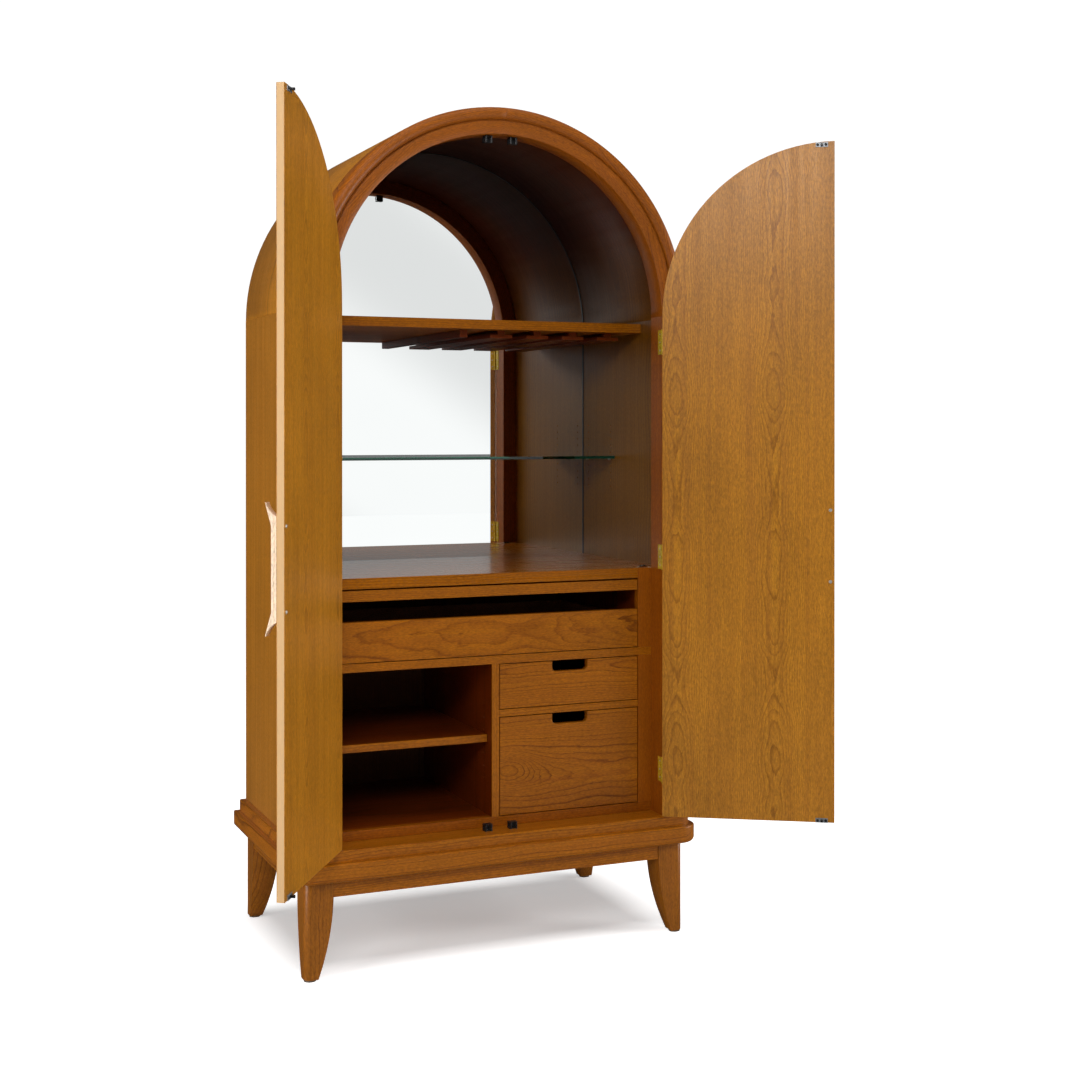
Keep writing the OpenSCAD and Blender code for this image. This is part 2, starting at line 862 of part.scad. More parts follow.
drawer_front(small_bay, true);  // small_drawer_front
drawer_box(small_box[0], small_box[1], small_box[2], small_box_h);  // small_drawer_box
drawer_bottom(small_box[0], small_box[1], small_box[2]);  // small_drawer_bottom
drawer_front(large_bay, true);  // large_drawer_front
drawer_box(large_box[0], large_box[1], large_box[2], large_box_h);  // large_drawer_box
drawer_bottom(large_box[0], large_box[1], large_box[2]);  // large_drawer_bottom
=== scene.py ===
"""Looks of the arched bar armoire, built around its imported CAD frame. Lengths are in metres."""

import json
import math

import bmesh
import bpy
from mathutils import Matrix, Vector

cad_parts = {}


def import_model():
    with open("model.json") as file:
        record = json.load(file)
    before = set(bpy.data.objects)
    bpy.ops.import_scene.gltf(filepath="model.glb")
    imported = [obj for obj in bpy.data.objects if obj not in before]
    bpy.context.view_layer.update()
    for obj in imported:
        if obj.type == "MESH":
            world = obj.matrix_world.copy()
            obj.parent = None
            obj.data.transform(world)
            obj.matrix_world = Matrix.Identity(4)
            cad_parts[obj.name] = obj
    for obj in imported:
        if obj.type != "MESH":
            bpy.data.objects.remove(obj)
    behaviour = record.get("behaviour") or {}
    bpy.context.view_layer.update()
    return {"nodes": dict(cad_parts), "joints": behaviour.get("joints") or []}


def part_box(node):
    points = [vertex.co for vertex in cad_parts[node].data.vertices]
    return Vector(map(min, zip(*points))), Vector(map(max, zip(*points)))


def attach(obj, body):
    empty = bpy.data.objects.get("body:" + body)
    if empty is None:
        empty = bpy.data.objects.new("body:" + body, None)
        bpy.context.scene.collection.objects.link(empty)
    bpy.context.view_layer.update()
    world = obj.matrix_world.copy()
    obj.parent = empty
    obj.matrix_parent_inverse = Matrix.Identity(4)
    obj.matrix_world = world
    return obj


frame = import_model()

NODES = frame["nodes"]
JOINTS = {joint["name"]: joint for joint in frame["joints"]}

# ---- Places taken from the frame ----

ARCH_LOW, ARCH_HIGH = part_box("arch_shell")
SPRING_Z = ARCH_LOW.z
ARCH_R = ARCH_HIGH.x
MIRROR_LOW, MIRROR_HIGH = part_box("mirror_panel")
DOOR_PIN = Vector(JOINTS["right_door_hinge"]["pos_m"])
# Angles that the doors stand open at rest, from their joints' limits
DOOR_OPEN = {
    "left": math.radians(JOINTS["left_door_hinge"]["range_deg"][0]),
    "right": -math.radians(JOINTS["right_door_hinge"]["range_deg"][0]),
}
DOOR_SIDE = {"left": -1, "right": 1}


def door_turn(side):
    """Takes a shut door to where it stands at rest."""
    pin = Vector((DOOR_SIDE[side] * DOOR_PIN.x, DOOR_PIN.y, 0))
    return Matrix.Translation(pin) @ Matrix.Rotation(DOOR_OPEN[side], 4, "Z") @ Matrix.Translation(-pin)


def shut_points(node, side):
    """A door node's corners as if the door were shut."""
    back = door_turn(side).inverted()
    return [back @ v.co for v in NODES[node].data.vertices]


DOOR_YS = [point.y for point in shut_points("right_door_panel", "right")]
DOOR_BACK_Y = max(DOOR_YS)
DOOR_T = DOOR_BACK_Y - min(DOOR_YS)
DOOR_MIDDLE_Y = DOOR_BACK_Y - DOOR_T / 2
VENEER_T = 0.0014
# Thickness of the strikes' plates
PLATE_T = 0.002
INNER_R = MIRROR_HIGH.x
# How deep a lining face's painted shade reaches, and how far from the cabinet's middle a shut door's painted
# highlight along its free edge reaches
SKIN = 0.0006
EDGE_HIGHLIGHT_REACH = 0.0017
# Heights between which the lining's painted shade turns darker and redder
LINING_LOW = 1.45
LINING_HIGH = 1.95
# Painted shade, multiplied into the lining's colour below and above those heights
LINING_SHADE_LOW = (0.62, 0.70, 0.45, 1)
LINING_SHADE_HIGH = (0.19, 0.085, 0.02, 1)
# Thickness of the lipping on a board's front edge
LIP_T = 0.006
# A hair's breadth, which keeps the faces of an added piece off the planes of the faces they meet
HAIR = 0.0001
# Radius and rise of the added screw heads
BACK_SCREW_R = 0.0042
BACK_SCREW_RISE = 0.0018
STRIKE_SCREW_R = 0.0036
STRIKE_SCREW_RISE = 0.0016
STRIKE_SCREW_INSET = 0.0052
# The floor's shadow shows over this box round the cabinet, and fades out beyond it
SHADE_HALF_X = 0.46
SHADE_HALF_Y = 0.22
SHADE_Y = 0.05
SHADE_FADE = 0.17


def srgb(r, g, b):
    """A colour given as 0 to 255 display values, as linear RGBA."""
    def linear(v):
        v /= 255
        return v / 12.92 if v <= 0.04045 else ((v + 0.055) / 1.055) ** 2.4
    return (linear(r), linear(g), linear(b), 1.0)


# ---- Node graphs ----

class Graph:
    """One material's node tree, built with short calls. A value is a number, a tuple or a socket."""

    def __init__(self, name, color=(0.5, 0.5, 0.5, 1), **shader):
        self.material = bpy.data.materials.new(name)
        self.material.use_nodes = True
        self.tree = self.material.node_tree
        self.tree.nodes.clear()
        self.shader = self.add("ShaderNodeBsdfPrincipled")
        self.output = self.add("ShaderNodeOutputMaterial")
        self.tree.links.new(self.shader.outputs[0], self.output.inputs[0])
        self.put(self.shader.inputs["Base Color"], color)
        for key, value in shader.items():
            self.put(self.shader.inputs[key.replace("_", " ")], value)

    def add(self, kind, **settings):
        node = self.tree.nodes.new(kind)
        for key, value in settings.items():
            setattr(node, key, value)
        return node

    def put(self, socket, value):
        if isinstance(value, bpy.types.NodeSocket):
            self.tree.links.new(value, socket)
        else:
            socket.default_value = value

    def math(self, operation, *values, clamp=False):
        node = self.add("ShaderNodeMath", operation=operation, use_clamp=clamp)
        for i, value in enumerate(values):
            self.put(node.inputs[i], value)
        return node.outputs[0]

    def length(self, a, b):
        """The length of the vector (a, b)."""
        squares = self.math("ADD", self.math("MULTIPLY", a, a), self.math("MULTIPLY", b, b))
        return self.math("SQRT", squares)

    def vector(self, operation, *values):
        node = self.add("ShaderNodeVectorMath", operation=operation)
        for i, value in enumerate(values):
            self.put(node.inputs[i], value)
        return node.outputs[0]

    def split(self, vector):
        node = self.add("ShaderNodeSeparateXYZ")
        self.put(node.inputs[0], vector)
        return node.outputs

    def join(self, x, y, z):
        node = self.add("ShaderNodeCombineXYZ")
        for i, value in enumerate((x, y, z)):
            self.put(node.inputs[i], value)
        return node.outputs[0]

    def place(self, vector, location=(0, 0, 0), rotation=(0, 0, 0), scale=(1, 1, 1)):
        node = self.add("ShaderNodeMapping")
        for i, value in enumerate((vector, location, rotation, scale)):
            self.put(node.inputs[i], value)
        return node.outputs[0]

    def noise(self, vector, per_metre, detail=2.0, roughness=0.5, scale=1.0):
        node = self.add("ShaderNodeTexNoise", noise_dimensions="3D")
        self.put(node.inputs["Vector"], self.place(vector, scale=per_metre))
        self.put(node.inputs["Scale"], scale)
        self.put(node.inputs["Detail"], detail)
        self.put(node.inputs["Roughness"], roughness)
        return node.outputs[0]

    def spread(self, value, low, high, out_low=0.0, out_high=1.0):
        node = self.add("ShaderNodeMapRange", clamp=True)
        for i, v in enumerate((value, low, high, out_low, out_high)):
            self.put(node.inputs[i], v)
        return node.outputs[0]

    def mix(self, factor, a, b, blend="MIX"):
        node = self.add("ShaderNodeMix", data_type="RGBA", blend_type=blend)
        self.put(node.inputs["Factor"], factor)
        self.put(node.inputs[6], a)
        self.put(node.inputs[7], b)
        return node.outputs[2]

    def bump(self, height, strength, distance):
        node = self.add("ShaderNodeBump")
        self.put(node.inputs["Height"], height)
        self.put(node.inputs["Strength"], strength)
        self.put(node.inputs["Distance"], distance)
        self.put(self.shader.inputs["Normal"], node.outputs[0])

    def position(self):
        return self.add("ShaderNodeTexCoord").outputs["Object"]


# ---- Wood ----

TONES = {
    # light and dark of the growth rings, and the dark of the latewood lines
    "case": (srgb(186, 122, 38), srgb(154, 95, 21), srgb(108, 58, 9)),
    "door": (srgb(192, 129, 32), srgb(156, 96, 16), srgb(106, 58, 6)),
    "leg": (srgb(160, 96, 20), srgb(144, 81, 14), srgb(100, 52, 6)),
    "front": (srgb(176, 104, 9), srgb(152, 82, 4), srgb(84, 36, 1)),
    "frame": (srgb(164, 90, 8), srgb(142, 72, 4), srgb(90, 38, 1)),
    # painted shade: a darker wood for the boards inside the cabinet, standing in for the shade in its
    # cavities
    "inner": (srgb(122, 50, 3), srgb(104, 40, 2), srgb(72, 26, 1)),
    "pale": (srgb(250, 226, 200), srgb(243, 212, 178), srgb(220, 178, 138)),
    "maple": (srgb(168, 128, 84), srgb(152, 112, 70), srgb(120, 84, 50)),
    "board": (srgb(128, 86, 44), srgb(114, 74, 36), srgb(88, 54, 24)),
}
# Painted highlight on the doors' free edges
EDGE_HIGHLIGHT_TONE = srgb(224, 186, 138)


def along(graph, grain):
    """Object coordinates turned so that the grain runs along z and the growth rings cross x and y."""
    p = graph.position()
    if grain == "x":
        x, y, z = graph.split(p)
        return graph.join(z, y, x)
    if grain == "y":
        x, y, z = graph.split(p)
        return graph.join(z, x, y)
    return p


def around_arch(graph, segment):
    """Coordinates that follow the arch. With a segment angle, each segment has its own straight grain."""
    x, y, z = graph.split(graph.position())
    up = graph.math("SUBTRACT", z, SPRING_Z)
    angle = graph.math("ARCTAN2", up, x)
    radius = graph.length(x, up)
    if not segment:
        return graph.join(y, radius, graph.math("MULTIPLY", angle, ARCH_R))
    index = graph.math("FLOOR", graph.math("DIVIDE", angle, segment))
    middle = graph.math("MULTIPLY", graph.math("ADD", index, 0.5), segment)
    inside = graph.math("SUBTRACT", angle, middle)
    across = graph.math("MULTIPLY", radius, graph.math("COSINE", inside))
    tangent = graph.math("MULTIPLY", radius, graph.math("SINE", inside))
    # each segment is cut from its own place in the board
    return graph.join(graph.math("ADD", across, graph.math("MULTIPLY", index, 0.37)), y,
                      graph.math("ADD", tangent, graph.math("MULTIPLY", index, 1.9)))


def mitred(graph, low, high):
    """Grain that follows a moulding round its front corners: along x in front, along y at the sides."""
    x, y, z = graph.split(graph.position())
    to_side = graph.math("SUBTRACT", high.x, graph.math("ABSOLUTE", x))
    to_front = graph.math("SUBTRACT", y, low.y)
    side = graph.math("LESS_THAN", to_side, to_front)
    front = graph.join(z, y, x)
    flank = graph.join(z, graph.math("ADD", x, 3.0), graph.math("ADD", y, 7.0))
    pick = graph.add("ShaderNodeMix", data_type="VECTOR")
    graph.put(pick.inputs["Factor"], side)
    graph.put(pick.inputs[4], front)
    graph.put(pick.inputs[5], flank)
    return pick.outputs[1]


def closed_door(graph, side):
    """Coordinates of a door as if it were shut, so its grain stays vertical and in place."""
    angle = DOOR_OPEN[side]
    pin = Vector((DOOR_SIDE[side] * DOOR_PIN.x, DOOR_PIN.y, 0))
    back = Matrix.Rotation(-angle, 3, "Z")
    return graph.place(graph.position(), location=pin - back @ pin, rotation=(0, 0, -angle))


def leaves(graph, p, first, width):
    """Slip-matched veneer: the same figure again in each leaf."""
    x, y, z = graph.split(p)
    from_first = graph.math("DIVIDE", graph.math("SUBTRACT", x, first), width)
    index = graph.math("ROUND", from_first)
    local = graph.math("MULTIPLY", graph.math("SUBTRACT", from_first, index), width)
    shifted = graph.math("ADD", z, graph.math("MULTIPLY", index, 0.012))
    return graph.join(local, y, shifted)


def at_front(graph, limit):
    """1 on a board's front edge, which is lipped with the same wood as the drawer fronts."""
    _, y, _ = graph.split(graph.position())
    return graph.math("LESS_THAN", y, limit)


def inner_face(graph, kind):
    """1 on the faces of the side panels, the arch and the frame that line the display space, where the shade
    is painted.
    """
    x, y, z = graph.split(graph.position())
    if kind == "side":
        return graph.math("LESS_THAN", graph.math("ABSOLUTE", x), INNER_R + SKIN)
    up = graph.math("SUBTRACT", z, SPRING_Z)
    return graph.math("LESS_THAN", graph.length(x, up), INNER_R + SKIN)


def rings_of(g, p, whole, cut, knot):
    """Growth rings: how far each point lies from the pith of a trunk that wanders along the board."""
    x, y, z = g.split(p)
    sway = g.math("SUBTRACT", g.noise(p, (0.0, 0.0, 1.9), 2.0), 0.5)
    wander = g.math("SUBTRACT", g.noise(p, (0.0, 0.0, 2.6), 2.0, 0.4), 0.5)
    local = g.math("SUBTRACT", g.noise(p, (20.0, 20.0, 3.2), 3.0, 0.5), 0.5)
    wave = g.math("SUBTRACT", g.noise(p, (46.0, 46.0, 15.0), 2.0, 0.5), 0.5)
    ragged = g.math("SUBTRACT", g.noise(p, (240.0, 240.0, 60.0), 2.0, 0.5), 0.5)
    side = g.math("ADD", g.math("SUBTRACT", x, cut["centre"]), g.math("MULTIPLY", sway, cut["sway"]))
    side = g.math("MULTIPLY", side, cut["narrow"])
    deep = g.math("ADD", cut["depth"], g.math("MULTIPLY", z, cut["taper"]))
    deep = g.math("ADD", deep, g.math("MULTIPLY", wander, cut["wander"]))
    deep = g.math("ADD", deep, g.math("MULTIPLY", y, 0.8))
    if knot:
        # a knot lifts the rings round it into closed curves
        at_x, at_z, size = knot
        wx, _, wz = g.split(whole)
        away_x = g.math("DIVIDE", g.math("SUBTRACT", wx, at_x), size)
        away_z = g.math("DIVIDE", g.math("SUBTRACT", wz, at_z), size * 1.5)
        away = g.math("ADD", g.math("MULTIPLY", away_x, away_x), g.math("MULTIPLY", away_z, away_z))
        bulge = g.math("DIVIDE", 0.085, g.math("ADD", away, 1.0))
        deep = g.math("ADD", deep, bulge)
    radius = g.length(side, deep)
    radius = g.math("ADD", radius, g.math("MULTIPLY", local, cut["local"]))
    radius = g.math("ADD", radius, g.math("MULTIPLY", wave, cut["wave"]))
    radius = g.math("ADD", radius, g.math("MULTIPLY", ragged, cut["ragged"]))
    phase = g.math("MULTIPLY", radius, cut["rings"])
    # rings aren't evenly spaced
    phase = g.math("ADD", phase, g.math("MULTIPLY", g.math("SINE", g.math("MULTIPLY", radius, 83.0)), 0.9))
    return phase, g.math("ABSOLUTE", side)


# How a board is cut from its trunk: straight stock, plain-sawn fronts with wavy lines, and veneer.
# flank is the lines' strength away from the figure's middle, narrow squeezes the figure sideways and
# lines is the strength of the dark lines.
CUTS = {
    "straight": dict(centre=0.0, depth=0.030, taper=0.010, rings=230.0, sway=0.030, wander=0.020,
                     local=0.006, wave=0.0020, ragged=0.0006, flank=1.0, narrow=1.0, lines=1.0),
    "wavy": dict(centre=0.0, depth=0.030, taper=0.030, rings=140.0, sway=0.050, wander=0.050,
                 local=0.011, wave=0.0060, ragged=0.0016, flank=1.0, narrow=1.0, lines=1.0),
    "veneer": dict(centre=0.0, depth=0.014, taper=0.0, rings=330.0, sway=0.022, wander=0.044,
                   local=0.0040, wave=0.0020, ragged=0.0010, flank=0.66, narrow=1.5, lines=0.60),
}


def wood(name, tone, grain="z", seed=0.0, cut="straight", rough=0.31, segment=None, mitre=None, door=None,
         arch=False, veneer=None, contrast=1.0, knot=None, inside=None, front=None, coat=0.0, **changes):
    """Stained and lacquered cherry. The rings come from a distorted trunk that the board is cut from."""
    g = Graph(name, Specular_IOR_Level=0.42, Coat_Weight=coat, Coat_Roughness=0.16)
    if mitre:
        whole = mitred(g, *mitre)
    elif arch:
        whole = around_arch(g, segment)
    elif door:
        whole = closed_door(g, door)
    else:
        whole = along(g, grain)
    p = leaves(g, whole, *veneer) if veneer else whole
    p = g.vector("ADD", p, (0.0, 0.0, seed))
    cut = {**CUTS[cut], **changes}
    phase, off_centre = rings_of(g, p, whole, cut, knot)
    ring = g.math("FRACT", phase)
    # each ring fades in slowly, ends in a thin dark line, and the next one starts pale
    line = g.math("MULTIPLY", g.spread(ring, 0.68, 0.90), g.spread(ring, 1.0, 0.93))
    start = g.spread(ring, 0.22, 0.02)
    fade = g.spread(ring, 0.2, 0.9)
    # each ring's line has its own strength
    chance = g.add("ShaderNodeTexWhiteNoise", noise_dimensions="1D")
    g.put(chance.inputs["W"], g.math("FLOOR", phase))
    line = g.math("MULTIPLY", line, g.spread(chance.outputs["Value"], 0.0, 1.0, 0.2, 1.0))
    # the lines are boldest along the middle of the figure
    bold = g.spread(off_centre, 0.012, 0.050, 1.0, cut["flank"])
    line = g.math("MULTIPLY", line, bold)
    start = g.math("MULTIPLY", start, bold)

    fibre = g.noise(p, (520.0, 520.0, 9.0), 3.0, 0.6)
    streak = g.noise(p, (62.0, 62.0, 1.3), 5.0, 0.68)
    pore = g.spread(g.noise(p, (1300.0, 1300.0, 70.0), 1.0, 0.5), 0.62, 0.70)
    fleck = g.noise(whole, (330.0, 330.0, 105.0), 2.0, 0.65)
    cloud = g.noise(whole, (9.0, 9.0, 3.0), 3.0, 0.6)

    light, dark, dim = (g.mix(at_front(g, front), a, b) if front else a
                        for a, b in zip(TONES[tone], TONES["front"]))
    color = g.mix(g.math("MULTIPLY", fade, 0.34 * contrast), light, dark)
    color = g.mix(g.math("MULTIPLY", line, 0.86 * contrast * cut["lines"]), color, dim)
    color = g.mix(g.math("MULTIPLY", start, 0.55 * contrast), color, light)
    color = g.mix(g.spread(fibre, 0.42, 0.72, 0.0, 0.38 * contrast), color, dark)
    color = g.mix(g.spread(streak, 0.40, 0.74, 0.0, 0.62 * contrast), color, dark)
    color = g.mix(g.math("MULTIPLY", pore, 0.50 * contrast), color, dim)
    # speckle and slow clouds of the stain
    tint = g.math("ADD", g.spread(fleck, 0.3, 0.7, 1.0 - 0.24 * contrast, 1.0 + 0.24 * contrast),
                  g.spread(cloud, 0.3, 0.7, -0.09, 0.09))
    color = g.mix(1.0, color, g.join(tint, tint, tint), "MULTIPLY")
    if door:
        # painted highlight: the free edge is painted pale, between the edges of the two veneers
        edge_x, edge_y, _ = g.split(whole)
        highlit_edge = g.math("LESS_THAN", g.math("ABSOLUTE", edge_x), EDGE_HIGHLIGHT_REACH)
        from_middle = g.math("ABSOLUTE", g.math("SUBTRACT", edge_y, DOOR_MIDDLE_Y))
        core = g.math("LESS_THAN", from_middle, DOOR_T / 2 - VENEER_T)
        color = g.mix(g.math("MULTIPLY", g.math("MULTIPLY", highlit_edge, core), 0.82), color, EDGE_HIGHLIGHT_TONE)
    if inside:
        # painted shade: faces that look into the cabinet are darkened, darker and redder towards the crown
        _, _, height = g.split(g.position())
        inner_shade = g.mix(g.spread(height, LINING_LOW, LINING_HIGH), LINING_SHADE_LOW, LINING_SHADE_HIGH)
        color = g.mix(inner_face(g, inside), color, g.mix(1.0, color, inner_shade, "MULTIPLY"))
    g.put(g.shader.inputs["Base Color"], color)
    g.put(g.shader.inputs["Roughness"], g.math("ADD", g.spread(streak, 0.3, 0.7, rough - 0.03, rough + 0.05),
                                               g.math("MULTIPLY", pore, 0.12)))
    height = g.math("SUBTRACT", g.math("MULTIPLY", fibre, 0.5), g.math("MULTIPLY", pore, 0.8))
    height = g.math("SUBTRACT", height, g.math("MULTIPLY", line, 0.5))
    g.bump(height, 0.16, 0.0004)
    return g.material


# ---- Other materials ----

def brass():
    g = Graph("brass", Metallic=0.35, Specular_IOR_Level=0.8)
    p = g.position()
    cloud = g.noise(p, (160.0, 160.0, 160.0), 3.0)
    color = g.mix(g.spread(cloud, 0.35, 0.7), srgb(232, 204, 62), srgb(196, 160, 34))
    g.put(g.shader.inputs["Base Color"], color)
    g.put(g.shader.inputs["Roughness"], g.spread(g.noise(p, (900.0, 900.0, 60.0), 2.0), 0.3, 0.7, 0.18, 0.34))
    g.bump(g.noise(p, (1400.0, 1400.0, 120.0), 2.0), 0.08, 0.0002)
    return g.material


def steel():
    g = Graph("screw_steel", Metallic=0.4, Specular_IOR_Level=0.9)
    p = g.position()
    g.put(g.shader.inputs["Base Color"],
          g.mix(g.noise(p, (700.0, 700.0, 700.0), 2.0), srgb(226, 222, 214), srgb(150, 144, 134)))
    speck = g.noise(p, (900.0, 900.0, 900.0), 2.0)
    g.put(g.shader.inputs["Roughness"], g.spread(speck, 0.3, 0.7, 0.25, 0.42))
    return g.material


def black_hardware():
    g = Graph("black_hardware", Specular_IOR_Level=0.5)
    p = g.position()
    speck = g.noise(p, (2200.0, 2200.0, 2200.0), 2.0)
    g.put(g.shader.inputs["Base Color"], g.mix(g.spread(speck, 0.4, 0.7), srgb(20, 20, 22), srgb(38, 38, 40)))
    g.put(g.shader.inputs["Roughness"], g.spread(speck, 0.3, 0.7, 0.3, 0.45))
    g.bump(speck, 0.2, 0.0002)
    return g.material


def strike(side):
    """A steel plate with a black nub."""
    g = Graph(f"strike_{side}", Metallic=0.3, Specular_IOR_Level=0.7)
    p = closed_door(g, side)
    _, y, _ = g.split(p)
    nub = g.math("GREATER_THAN", y, DOOR_BACK_Y + PLATE_T + HAIR)
    speck = g.noise(p, (900.0, 900.0, 900.0), 2.0)
    plate = g.mix(g.spread(speck, 0.4, 0.7), srgb(152, 156, 160), srgb(112, 116, 120))
    g.put(g.shader.inputs["Base Color"], g.mix(nub, plate, srgb(24, 24, 26)))
    g.put(g.shader.inputs["Roughness"], g.spread(speck, 0.3, 0.7, 0.28, 0.42))
    return g.material


def mirror():
    g = Graph("mirror_glass", Metallic=1.0, Roughness=0.0)
    # the silvering is very slightly cloudy
    cloud = g.noise(g.position(), (3.0, 3.0, 3.0), 2.0)
    g.put(g.shader.inputs["Base Color"], g.mix(cloud, (0.93, 0.95, 0.945, 1), (0.90, 0.925, 0.92, 1)))
    return g.material


def shelf_glass():
    """Clear on its faces and green where its polished edges gather the tint."""
    g = Graph("shelf_glass", Roughness=0.0, IOR=1.5, Transmission_Weight=1.0)
    normal = g.split(g.add("ShaderNodeNewGeometry").outputs["True Normal"])
    edge = g.spread(g.math("ABSOLUTE", normal[2]), 0.9, 0.5)
    g.put(g.shader.inputs["Base Color"], g.mix(edge, (0.93, 0.975, 0.955, 1), srgb(70, 150, 128)))
    return g.material


def glide():
    g = Graph("glide_plastic", Specular_IOR_Level=0.4)
    speck = g.noise(g.position(), (900.0, 900.0, 900.0), 2.0)
    g.put(g.shader.inputs["Base Color"], g.mix(speck, srgb(120, 104, 88), srgb(96, 82, 68)))
    g.put(g.shader.inputs["Roughness"], g.spread(speck, 0.3, 0.7, 0.5, 0.65))
    return g.material


def dress(node, material):
    """Gives a CAD node its material."""
    slots = NODES[node].data.materials
    slots.clear()
    slots.append(material)


def ease(node, width):
    """Eases a CAD node's sharp edges."""
    obj = NODES[node]
    weld = obj.modifiers.new("weld", "WELD")
    weld.merge_threshold = 0.00001
    bevel = obj.modifiers.new("ease", "BEVEL")
    bevel.width = width
    bevel.segments = 2
    bevel.limit_method = "ANGLE"
    bevel.angle_limit = math.radians(30)
    bevel.harden_normals = True
    bevel.use_clamp_overlap = True


# ---- What each CAD node is made of ----

TIER = {name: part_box(name) for name in ("lower_tier", "upper_tier")}

# Heights and sides of the parts that the grain's figure is centred on
COUNTER_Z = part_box("counter")[1].z
LARGE_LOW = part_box("large_drawer_front")[0]
SMALL_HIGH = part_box("small_drawer_front")[1]
WIDE_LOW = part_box("wide_drawer_front")[0]

# Depths behind which the lipped boards are plain
DIVIDER_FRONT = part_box("centre_divider")[0].y + LIP_T
SHELF_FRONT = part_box("low_shelf")[0].y + LIP_T

WOODS = {
    "lower_tier": dict(tone="front", mitre=TIER["lower_tier"], centre=0.12, seed=1.3),
    "upper_tier": dict(tone="front", mitre=TIER["upper_tier"], centre=0.16, seed=4.1),
    "apron_front": dict(tone="front", grain="x", centre=0.10, seed=2.2),
    "apron_back": dict(tone="front", grain="x", centre=0.12, seed=6.2),
    "apron_sides": dict(tone="front", grain="y", centre=0.11, seed=3.4),
    "leg_front_left": dict(tone="leg", centre=-0.36, seed=0.3),
    "leg_front_right": dict(tone="leg", centre=0.66, seed=5.1),
    "leg_back_left": dict(tone="leg", centre=-0.66, seed=7.7),
    "leg_back_right": dict(tone="leg", centre=0.36, seed=9.2),
    "side_panel_left": dict(tone="case", seed=2.0, centre=0.0, inside="side", depth=0.24),
    "side_panel_right": dict(tone="case", seed=8.4, centre=0.0, inside="side", depth=0.25),
    "arch_shell": dict(tone="case", arch=True, seed=3.3, centre=0.02, inside="arch", depth=-0.2),
    "frame_stile_left": dict(tone="frame", centre=-0.70, seed=6.6),
    "frame_stile_right": dict(tone="frame", centre=0.72, seed=1.7),
    "arch_moulding_left": dict(tone="frame", arch=True, segment=math.radians(30), seed=0.9, centre=0.40,
                               rough=0.42),
    "arch_moulding_right": dict(tone="frame", arch=True, segment=math.radians(30), seed=4.4, centre=0.40,
                                rough=0.42),
    "back_panel": dict(tone="board", seed=5.5, centre=0.1, contrast=0.6, rough=0.6),
    "bottom_panel": dict(tone="inner", grain="x", centre=0.1, seed=2.9),
    "bottom_rail": dict(tone="frame", grain="x", centre=0.20, seed=7.1),
    "counter": dict(tone="front", grain="x", centre=COUNTER_Z - 0.09, seed=3.7, rough=0.26, coat=0.5),
    "inner_stiles": dict(tone="frame", centre=0.25, seed=5.9, contrast=0.8),
    "case_sides": dict(tone="inner", centre=0.2, seed=4.6),
    "middle_shelf": dict(tone="front", grain="x", centre=0.64, seed=8.8),
    "drawer_rail": dict(tone="front", grain="x", centre=0.50, seed=1.1),
    "centre_divider": dict(tone="inner", centre=0.1, seed=9.9, front=DIVIDER_FRONT),
    "low_shelf": dict(tone="inner", grain="x", centre=0.45, seed=0.7, front=SHELF_FRONT),
    "top_shelf": dict(tone="front", grain="x", centre=1.55, seed=6.9),
    "stemware_rails": dict(tone="inner", grain="y", centre=1.5, seed=2.6),
    "drawer_runners": dict(tone="maple", grain="y", centre=0.5, seed=3.1),
    "left_door_panel": dict(tone="door", door="left", veneer=(-0.42, 0.26), cut="veneer", seed=3.9),
    "right_door_panel": dict(tone="door", door="right", veneer=(0.42, 0.26), cut="veneer", seed=-0.13),
    "left_door_pull": dict(tone="pale", door="left", centre=0.12, seed=7.3),
    "right_door_pull": dict(tone="pale", door="right", centre=0.12, seed=5.6),
    "serving_board": dict(tone="front", grain="x", centre=0.84, seed=7.9),
    "wide_drawer_front": dict(tone="front", grain="x", cut="wavy", centre=WIDE_LOW.z + 0.06, seed=0.45),
    "small_drawer_front": dict(tone="front", grain="x", cut="wavy", centre=SMALL_HIGH.z - 0.02, seed=5.2),
    "large_drawer_front": dict(tone="front", grain="x", cut="wavy", centre=LARGE_LOW.z + 0.09, seed=2.45,
                               knot=(LARGE_LOW.z + 0.132, LARGE_LOW.x + 0.022, 0.045)),
    "wide_drawer_box": dict(tone="maple", grain="y", centre=0.6, seed=4.8),
    "wide_drawer_bottom": dict(tone="maple", grain="x", centre=0.4, seed=1.9),
    "small_drawer_box": dict(tone="maple", grain="y", centre=0.5, seed=8.1),
    "small_drawer_bottom": dict(tone="maple", grain="x", centre=0.3, seed=6.1),
    "large_drawer_box": dict(tone="maple", grain="y", centre=0.3, seed=0.6),
    "large_drawer_bottom": dict(tone="maple", grain="x", centre=0.2, seed=3.5),
}

# Widths of the eased edges: most nodes have the same, and the pulls are rounded more
EASE = 0.0013
EASED = {"left_door_pull": 0.0030, "right_door_pull": 0.0030}

for node, facts in WOODS.items():
    dress(node, wood(node + "_wood", **facts))
    ease(node, EASED.get(node, EASE))

BRASS = brass()
STEEL = steel()
BLACK = black_hardware()
for node in ("hinge_leaves_left", "hinge_leaves_right", "hinge_pins",
             "left_door_leaves", "right_door_leaves"):
    dress(node, BRASS)
for node in ("frame_screws", "left_door_screws", "right_door_screws", "shelf_pegs"):
    dress(node, STEEL)
for node in ("ceiling_light", "light_switch", "door_catches"):
    dress(node, BLACK)
for side in DOOR_SIDE:
    dress(f"{side}_door_strikes", strike(side))
dress("mirror_panel", mirror())
dress("glass_shelf", shelf_glass())
dress("foot_glides", glide())


# ---- Pieces that the CAD model leaves out ----

